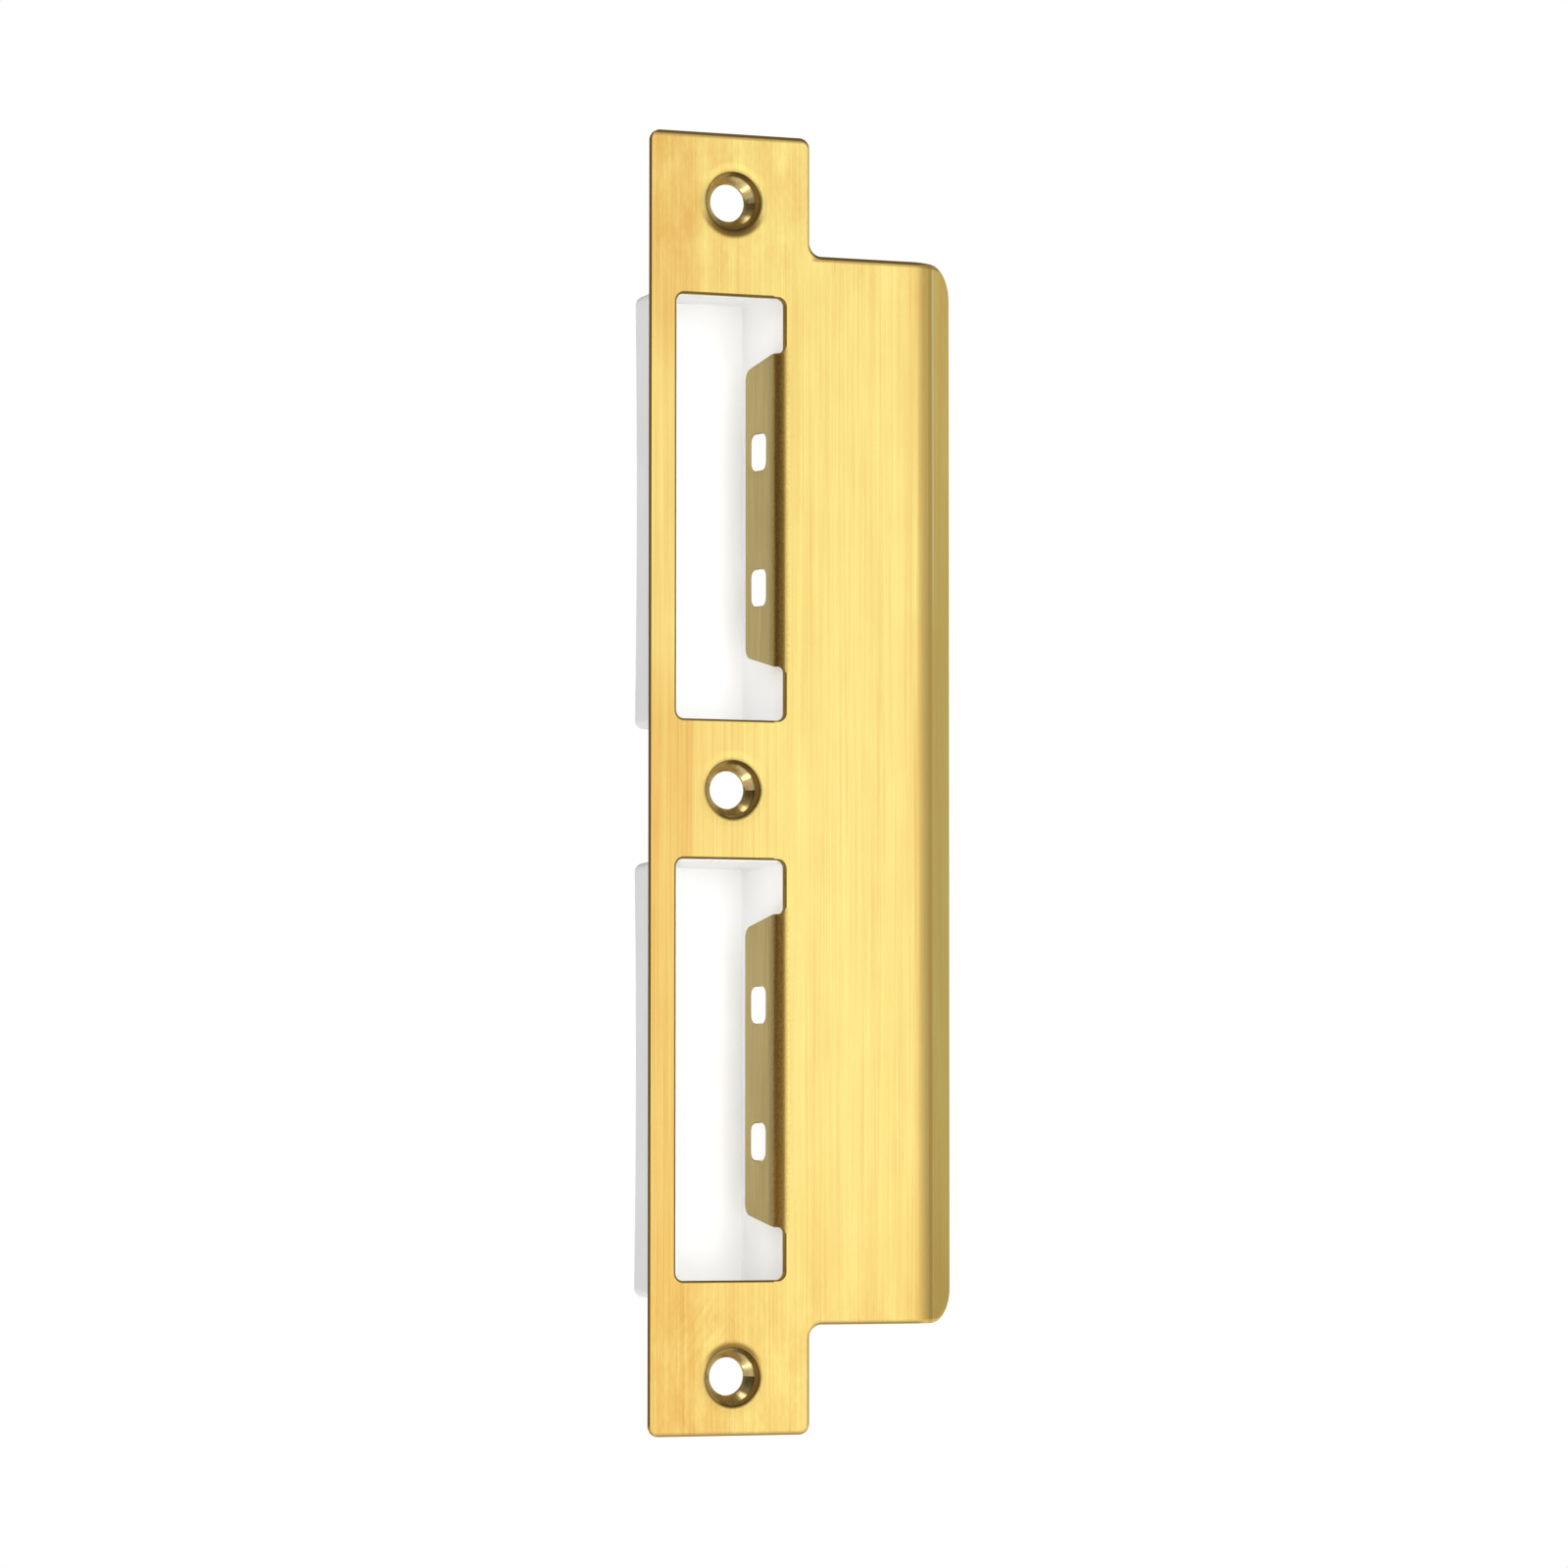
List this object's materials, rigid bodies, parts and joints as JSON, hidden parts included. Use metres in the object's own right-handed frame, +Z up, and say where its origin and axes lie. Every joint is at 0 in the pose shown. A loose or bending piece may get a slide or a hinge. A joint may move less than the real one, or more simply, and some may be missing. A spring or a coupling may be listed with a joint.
{
  "type": "door strike plate",
  "caption": "Folded brass-coloured strike plate with an angled lip, slotted tongues, dimpled countersinks and white dust boxes behind its bolt openings.",
  "frame": {"origin": "midway between the outer fixing holes, on the back face that seats on the door frame", "axes": "+Z up the plate's length, +X across the plate towards its lip, +Y from the plate into the door frame"},
  "size_m": [0.0624, 0.0233, 0.2404],
  "materials": {
    "brass": "brushed",
    "white_plastic": "matte"
  },
  "bodies": {
    "root": {"strike_plate": "brass", "dust_box_upper": "white_plastic", "dust_box_lower": "white_plastic"}
  },
  "joints": []
}
